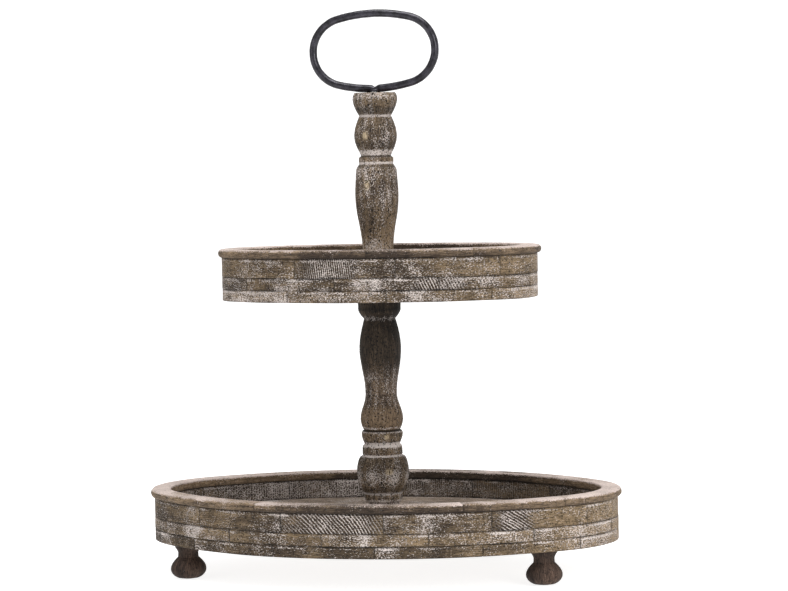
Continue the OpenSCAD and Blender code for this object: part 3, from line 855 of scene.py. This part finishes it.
def turned_piece(name, node_name, rows, scale, material, body, slot, seed, bands=(), base=0.1, dark=(),
                 light=(), spots=(), centre=(0, 0), bore=BORE, turns=112, depth=None):
    """Spins the outline round a vertical axis. Lime follows bands (height, half height, amount), the
    wood darkens in dark bands, which are painted shade where a part stands under a tray, the wood is
    paler in light bands, and spots (angle, height, half width, half height) are pale tan painted
    highlights where a lamp's reflection falls. The bore goes right through, or down to a depth from the top."""
    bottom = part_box(node_name)[0].z
    z, r = eased_outline(rows, scale)
    z = z + bottom
    through = depth is None
    if through:
        hole_z, hole_r = np.array([z[-1], z[0]]), np.array([bore, bore])
    else:
        end = 0.1 * MM
        hole_z, hole_r = np.array([z[-1], z[-1] - depth, z[-1] - depth]), np.array([bore, bore, end])
        z, r = np.append(z[0], z), np.append(end, r)
    outer = len(z)
    rows_z, rows_r = np.concatenate([z, hole_z]), np.concatenate([r, hole_r])
    angle = circle_turns(turns)

    # The gouge's rings and the slow unevenness are only on the outside, between its two end faces.
    gouge = sum(tall * MM * np.sin(rows_z * 1000 * close + start) for tall, close, start in GOUGES)
    uneven = 0.16 * MM * waves(angle[None, :] * 9, rows_z[:, None] * 1000, seed, 26)
    index = np.arange(len(rows_z))
    outside = (index > 0) & (index < outer - 1)
    reach = rows_r[:, None] + outside[:, None] * (gouge[:, None] + uneven)
    points = spun(reach, angle, rows_z[:, None], centre)

    high = rows_z[:, None] * 1000 + 0 * angle[None, :]
    marks = {"wash": base + 0.16 * waves(angle[None, :] * 25, high * 0.25, seed + 1, 12),
             "dirt": np.zeros_like(high), "tint": 0.3 * waves(angle[None, :] * 14, high, seed + 5, 40)}
    for mark_name, listed in (("wash", bands), ("dirt", dark), ("tint", light)):
        for at, half, amount in listed:
            marks[mark_name] = marks[mark_name] + amount * bump(high, at, half)
    marks["dirt"] = np.clip(marks["dirt"], 0, 0.9)
    marks["worn"] = np.zeros_like(high)
    for at, height, wide, tall in spots:
        away = np.angle(np.exp(1j * (angle - math.radians(at))))[None, :] * 1000 * reach
        spot = np.exp(-(away / wide) ** 4 - ((high - height) / tall) ** 4)
        marks["worn"] = np.maximum(marks["worn"], spot)

    along = np.concatenate([[0], np.cumsum(np.hypot(np.diff(rows_z), np.diff(rows_r)))])
    along = np.append(along, along[-1] + 0.01)
    made = tube(points, along + seed, girth(angle, float(r.mean())), joined=through, **marks)
    return build(name, [made], material, body, slot, [node_name])


# %% Turn the pole
FRONT = -74  # the angle that faces the camera, in degrees from X
# The spots on the upper spindle are painted highlights, where a lamp's reflection falls on its bulges.
turned_piece("upper_spindle_turned", "upper_spindle", [
    (0, .824, 0), (5, .824, 1), (26, .695, 1), (84, .968, 2), (110, .915, 2), (117, .775, 0),
    (118.3, .755, 0), (119.3, .775, 0), (124.5, .775, 0), (126, .68, 0), (127.5, .685, 3),
    (148, .958, 2), (169, .709, 3), (188, 1, 2), (193.7, .915, 0)], 23.9,
    turned_wood, "upper_spindle", "turned_wood", 71,
    bands=[(448.5, 3.0, 0.46), (437.3, 0.9, 0.9), (509, 3.5, 0.20), (487.6, 1.1, 0.5), (340, 16, 0.14),
           (427, 6, 0.12)],
    dark=[(444.6, 0.9, 0.7), (493, 4, 0.45), (499, 10, 0.25), (456, 5, 0.40), (321, 3, 0.4), (434, 1.4, 0.4)],
    light=[(338, 26, 0.9)], spots=[(FRONT - 30, 467, 3, 4), (FRONT - 28, 414, 2.6, 5)], base=0.23)
# The lower shaft is in the darker copy of the turned wood, and the dark bands over its upper half are painted
# shade under the upper tray, with stain.
turned_piece("lower_shaft_turned", "lower_spindle_shaft", [
    (0, .83, 0), (3, .905, 3), (12, 1, 1), (40, .735, 1), (88, .975, 2), (120, .735, 3), (131, 1, 0),
    (154.3, 1, 0)], 22.9, shaded_stained_wood, "lower_shaft", "dark_turned_wood", 73,
    bands=[(197, 24, 0.34), (271.5, 2.5, 0.5), (154, 1.2, 0.5)],
    dark=[(247, 34, 0.8), (284, 5, 0.5), (292, 3, 0.3), (151.6, 0.8, 0.9)], light=[(163, 13, 1.3)],
    base=-0.06)
# The spots on the lower base are painted highlights, where a lamp's reflection falls on its bead and ball.
turned_piece("lower_base_turned", "lower_spindle_base", [
    (0, .763, 0), (6, .763, 1), (13, .57, 5), (17.5, .725, 0), (22, .735, 0), (23.5, .705, 0), (24, .765, 3),
    (45, 1, 4), (63.5, .79, 0), (64, .755, 0), (65.5, .775, 0), (72.5, .765, 2), (76, .68, 3), (88, .795, 0),
    (90.3, .755, 0)], 27.9, turned_wood, "lower_tier", "turned_wood", 77,
    bands=[(136.2, 2.4, 0.8), (124.3, 0.9, 0.95), (84, 1.0, 0.9), (101, 8, 0.24), (75, 2, 0.4),
           (149.6, 0.8, 0.5)],
    dark=[(150.6, 0.7, 0.95), (113, 9, 0.3), (87, 3, 0.45), (139.5, 0.7, 0.5)],
    spots=[(FRONT + 12, 145, 2.6, 2.6), (FRONT + 14, 108, 4, 3)], base=0.20)

# %% Turn the feet
FOOT_RADIUS, FOOT_END, SCREW_BORE, SCREW_DEPTH = 19, 6, 3.02 * MM, 22.5 * MM
# The dark band at the top of each foot is painted shade under the lower tray.
for place in ("front_left", "front_right", "back_left", "back_right"):
    low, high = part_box("foot_" + place)
    turned_piece("foot_" + place + "_turned", "foot_" + place, [
        (0, FOOT_END / FOOT_RADIUS, 5), (10.5, 1, 2), (23, .585, 0), (27, .57, 2), (33, .72, 0),
        (35, .74, 0)], FOOT_RADIUS, foot_wood, "lower_tier", "foot_wood", 80 + len(place),
        centre=((low.x + high.x) / 2, (low.y + high.y) / 2), bore=SCREW_BORE, depth=SCREW_DEPTH,
        turns=80, dark=[(31, 7, 0.4)], base=-0.16)

# %% [markdown]
# ## The iron ring
# A round bar was bent hot into a loop, a little flatter than a circle at top and bottom, and welded
# over the rod, where a notch is left. The loop is the trays' four-centre oval, standing upright, and
# the hammer's marks are smooth waves on the bar's radius.

# %% Forge the ring
RING_END, RING_LEAN = 36 * MM, math.radians(0.9)
NOTCH_DEEP, NOTCH_WIDE = 2.6 * MM, 2.2
BEAD_WIDE, BEAD_THICK, BEAD_TALL, BEAD_UP = 7.2 * MM, 5.4 * MM, 1.9 * MM, 2.1 * MM


def forged_ring():
    """A circle of the bar's radius carried along an upright oval. The radius has waves for the hammer
    marks, and a dip on the inner side at the bottom for the notch."""
    low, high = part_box("handle_ring")
    bar = (high.y - low.y) / 2
    loop = four_arcs((high.x - low.x) / 2 - bar, (high.z - low.z) / 2 - bar, RING_END)
    run, turn = np.linspace(0, loop["around"], 340, endpoint=False), circle_turns(28)
    mr = run[:, None] * 1000
    hammer = 0.10 * waves(mr, turn[None, :] * 5, 91, 11) + 0.05 * waves(mr, turn[None, :] * 5, 92, 5)
    radius = bar + (hammer - 0.08) * MM
    from_foot = (run - 0.75 * loop["around"])[:, None] * 1000
    notch = np.exp(-np.abs(from_foot / NOTCH_WIDE) ** 1.4) * np.clip(np.cos(turn)[None, :], 0, 1)
    radius = radius - NOTCH_DEEP * notch
    x, up, _ = oval(run[:, None], loop, radius * np.cos(turn)[None, :])
    across = radius * np.sin(turn)
    points = np.stack([x * math.cos(RING_LEAN) - up * math.sin(RING_LEAN), across,
                       (low.z + high.z) / 2 + x * math.sin(RING_LEAN) + up * math.cos(RING_LEAN)], -1)
    return tube(points, np.append(run, loop["around"]), girth(turn, bar), joined=True)


def weld_bead():
    """A lumpy flattened ball at the ring's foot: a sphere's radius times smooth waves. Its lowest
    point stays just clear of the spindle's top, which turns on its own."""
    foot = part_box("handle_ring")[0].z
    rise, turn = np.radians(np.linspace(-86, 86, 15)), circle_turns(32)
    lump = 1 + 0.10 * waves(turn[None, :] * 3, rise[:, None] * 6, 95, 3)
    flat = np.cos(rise)[:, None] * lump
    points = np.stack([BEAD_WIDE * flat * np.cos(turn), BEAD_THICK * flat * np.sin(turn),
                       foot + BEAD_UP + BEAD_TALL * np.sin(rise)[:, None] * lump], -1)
    return tube(points, np.arange(15) * MM, girth(turn, 5 * MM))


build("ring_forged", [forged_ring(), weld_bead()], blackened_iron, "handle", "blackened_iron",
      ["handle_ring"], 60)

# %% [markdown]
# ## The rod and its fastenings
# The rod runs from the ring down through the whole pole, and a nut under the lower tray draws the
# stand together, over a split lock washer and a wide plain one. They sit in the hollow
# underneath. The thread is one formula: the radius falls and rises once for each pitch, and the
# pattern moves round as it climbs, so the crest is a helix.

# %% Cut the thread, the nut and the washers
ROD_RADIUS, THREAD_PITCH, THREAD_DEEP, THREAD_LONG = 4 * MM, 1.25 * MM, 0.62 * MM, 26 * MM
HALF_FLATS, SNUG = 6.5 * MM, 4.02 * MM


def threaded_rod():
    """A round bar whose radius dips by a wave of (height / pitch - turn) over its lowest part. The
    thread fades out over its last two millimetres, and the foot is pointed a little."""
    low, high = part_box("tie_rod")
    fine = np.arange(low.z, low.z + THREAD_LONG, 0.14 * MM)
    z = np.concatenate([fine, np.linspace(fine[-1] + MM, high.z, 60)])[:, None]
    turn = circle_turns(40)[None, :]
    cut = 0.5 - 0.5 * np.cos(2 * np.pi * (z / THREAD_PITCH) - turn)
    run_out = np.clip((low.z + THREAD_LONG - MM - z) / (2 * MM), 0, 1)
    start = np.clip((z - low.z) / (0.8 * MM), 0, 1)
    radius = ROD_RADIUS - THREAD_DEEP * cut * run_out - 0.6 * MM * (1 - start)
    return tube(spun(radius, turn, z), z[:, 0], girth(turn[0], ROD_RADIUS))


def hexagon_nut():
    """The reach at each turn is the flat's distance over the cosine from the flat's middle, and
    both faces are coned off, so it is never more than a limit that grows from each face."""
    low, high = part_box("bottom_nut")
    turn = circle_turns(96)
    flats = HALF_FLATS / np.cos(np.mod(turn, np.pi / 3) - np.pi / 6)
    z = np.concatenate([[low.z], low.z + np.array([0, 0.2, 0.45, 0.8, 3.2]) * MM,
                        high.z - np.array([0.8, 0.45, 0.2, 0]) * MM, [high.z]])
    cone = 6.35 * MM + 1.9 * np.minimum(z - low.z, high.z - z)
    reach = np.minimum(flats[None, :], cone[:, None])
    reach[[0, -1]] = SNUG
    return tube(spun(reach, turn, z[:, None]), np.append(z, z[-1] + MM), girth(turn, 6 * MM), joined=True)


def washer(node_name, hole, ease, split=0.0):
    """A flat section with eased corners, turned about the axis. With a split, which is an angle in
    radians, the turn stops short of a full one, and the ends are closed."""
    low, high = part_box(node_name)
    section = eased_section(hole, (high.x - low.x) / 2, low.z, high.z, (ease,) * 4, SECTION_STEP)
    turn = np.linspace(0, 2 * np.pi - split, 90, endpoint=split > 0)[:, None]
    points = spun(section[:, 0], turn, section[:, 1])
    return tube(points, np.arange(91) * MM, lengths(section), joined=split == 0)


split_washer = washer("lock_washer", SNUG, 0.25 * MM, 0.22)
wide_washer = washer("bottom_washer", 4.1 * MM, 0.35 * MM)
build("rod_threaded", [threaded_rod()], zinc_steel, "handle", "zinc_steel", ["tie_rod"], 30)
build("nut_hexagon", [hexagon_nut()], zinc_steel, "handle", "zinc_steel", ["bottom_nut"], 25)
build("washer_split", [split_washer], zinc_steel, "handle", "zinc_steel", ["lock_washer"])
build("washer_wide", [wide_washer], zinc_steel, "lower_tier", "zinc_steel", ["bottom_washer"])

# %% [markdown]
# ## The foot screws
# A screw holds each foot, and it is hidden in the wood from end to end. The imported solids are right
# as they are, so they only get a metal finish.

# %% Finish the screws, and lay the floor of the room
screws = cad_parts["foot_screws"]
screws.data.materials.clear()
screws.data.materials.append(zinc_steel)


NEAR, FAR, CURVE, TOP, HALF_WIDE = -8, 5.6, 1.2, 5.0, 9
PAPER_GREY, PAPER_GLOW = (0.5, 0.5, 0.5, 1), 0.84


def sweep():
    """Floor and backdrop in one sheet, in metres: flat, then a quarter circle, then straight up."""
    flat = np.linspace(NEAR, FAR, 40)
    turn = np.linspace(0, np.pi / 2, 24)[1:]
    y = np.concatenate([flat, FAR + CURVE * np.sin(turn), [FAR + CURVE]])
    z = np.concatenate([0 * flat, CURVE - CURVE * np.cos(turn), [TOP]]) - 0.3 * MM
    x = np.linspace(-HALF_WIDE, HALF_WIDE, 20)
    rows, columns = len(y), len(x)
    points = np.stack(np.broadcast_arrays(x[None, :], y[:, None], z[:, None]), -1)
    at = (np.arange(rows - 1)[:, None] * columns + np.arange(columns - 1)[None, :]).ravel()
    faces = np.stack([at, at + 1, at + columns + 1, at + columns], -1)
    mesh = bpy.data.meshes.new("white_sweep")
    mesh.from_pydata(points.reshape(-1, 3).tolist(), [], faces.tolist())
    mesh.polygons.foreach_set("use_smooth", np.ones(len(faces), bool))
    return bpy.data.objects.new("white_sweep", mesh)


paper = bpy.data.materials.new("white_paper")
paper.use_nodes = True
paper_shader = paper.node_tree.nodes["Principled BSDF"]
for socket, value in (("Base Color", PAPER_GREY), ("Roughness", 0.9), ("Specular IOR Level", 0.1),
                      ("Emission Color", (1, 1, 1, 1)), ("Emission Strength", PAPER_GLOW)):
    paper_shader.inputs[socket].default_value = value
backdrop = sweep()
backdrop.data.materials.append(paper)
bpy.context.scene.collection.objects.link(backdrop)
backdrop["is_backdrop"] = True
print("Everything is placed")

# %% [markdown]
# ## The size
# The finished stand's size is printed. The surfaces must stay in the imported model's box, because
# other people fit things to that box.

# %% Print the finished size
bpy.context.view_layer.update()
low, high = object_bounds()
print("The finished stand is", [round(h - l, 4) for l, h in zip(low, high)], "m")
